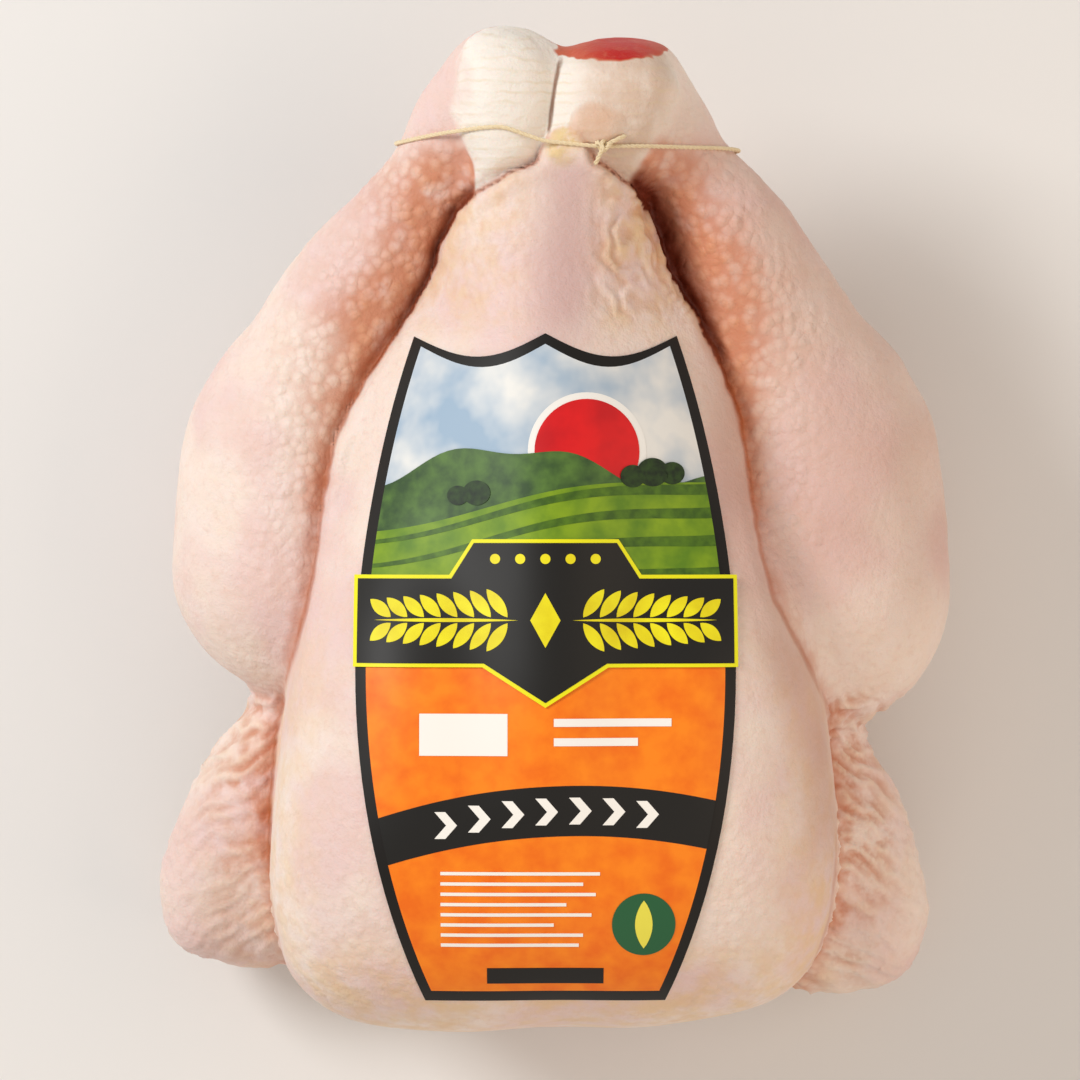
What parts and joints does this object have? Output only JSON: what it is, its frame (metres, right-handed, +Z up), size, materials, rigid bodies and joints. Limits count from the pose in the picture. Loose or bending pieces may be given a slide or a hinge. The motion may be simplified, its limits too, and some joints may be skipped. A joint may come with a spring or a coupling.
{
  "type": "whole raw chicken",
  "caption": "Oven-ready whole raw chicken lying on its back, legs tied at the hocks with elastic string and a printed label on the breast; a display food that rests on a flat surface.",
  "frame": {"origin": "centre of the underside of the bounding box, on the surface that the bird lies on", "axes": "+X across the bird to the right as seen from above with the hocks at the top, +Y from the neck end to the hocks, +Z up out of the breast"},
  "size_m": [0.1998, 0.248, 0.12],
  "materials": {
    "skin": "moist raw skin, fine follicle bumps",
    "paper": "coated label, satin",
    "elastic": "elastic string, matt"
  },
  "bodies": {
    "root": {"chicken": "skin", "label": "paper", "string": "elastic"}
  },
  "joints": []
}
